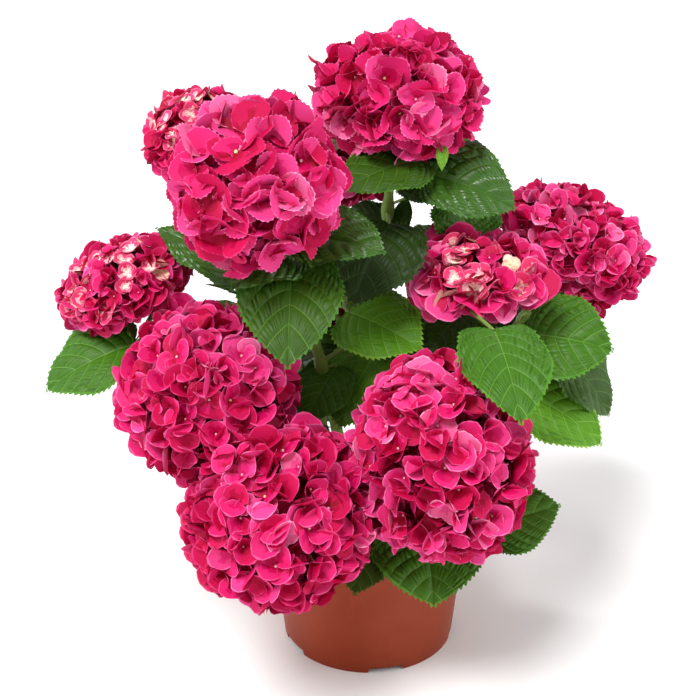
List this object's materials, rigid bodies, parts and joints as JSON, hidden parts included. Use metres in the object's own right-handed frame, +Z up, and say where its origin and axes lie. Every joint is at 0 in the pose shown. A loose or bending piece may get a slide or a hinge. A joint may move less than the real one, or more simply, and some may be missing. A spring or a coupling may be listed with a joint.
{
  "type": "potted hydrangea shrub",
  "caption": "Round-headed flowering hydrangea shrub with deep pink flower heads and broad toothed leaves on short canes, in a terracotta-coloured plastic pot.",
  "frame": {"origin": "middle of the pot's flat underside", "axes": "+Z up, -Y towards the front of the plant, +X to the right seen from the front"},
  "size_m": [0.5551, 0.4844, 0.5872],
  "materials": {
    "pot": "satin moulded plastic, terracotta coloured",
    "compost": "matte, crumbly, damp",
    "stem": "matte green bark with small raised pores, brown and ridged near the ground",
    "flower": "soft matte petals",
    "leaf": "satin, veined"
  },
  "bodies": {
    "root": {"cane_back_left": "stem", "cane_back_right": "stem", "cane_back_top": "stem", "cane_front_left": "stem", "cane_front_right": "stem", "cane_high_left": "stem", "cane_lower_left": "stem", "cane_right": "stem", "cane_top": "stem", "cane_upper_left": "stem", "compost": "compost", "flower_head_back": "flower", "flower_head_back_left": "flower", "flower_head_back_right": "flower", "flower_head_back_top": "flower", "flower_head_far_right": "flower", "flower_head_front_left": "flower", "flower_head_front_right": "flower", "flower_head_high_left": "flower", "flower_head_left": "flower", "flower_head_lower_left": "flower", "flower_head_mid_right": "flower", "flower_head_right": "flower", "flower_head_top": "flower", "flower_head_upper_left": "flower", "leaves_back_left": "leaf", "leaves_back_middle": "leaf", "leaves_back_right": "leaf", "leaves_back_top": "leaf", "leaves_back_upper": "leaf", "leaves_far_left": "leaf", "leaves_front": "leaf", "leaves_inner_left": "leaf", "leaves_inner_right": "leaf", "leaves_low_back": "leaf", "leaves_low_back_left": "leaf", "leaves_low_back_right": "leaf", "leaves_low_front": "leaf", "leaves_low_left": "leaf", "leaves_low_right": "leaf", "leaves_middle": "leaf", "leaves_middle_low": "leaf", "leaves_middle_right": "leaf", "leaves_right": "leaf", "leaves_right_front": "leaf", "leaves_right_low": "leaf", "leaves_top_left": "leaf", "leaves_top_low": "leaf", "leaves_top_right": "leaf", "leaves_upper_left": "leaf", "pot": "pot", "shoot_back": "stem", "shoot_far_right": "stem", "shoot_left": "stem", "shoot_mid_right": "stem"}
  },
  "joints": []
}
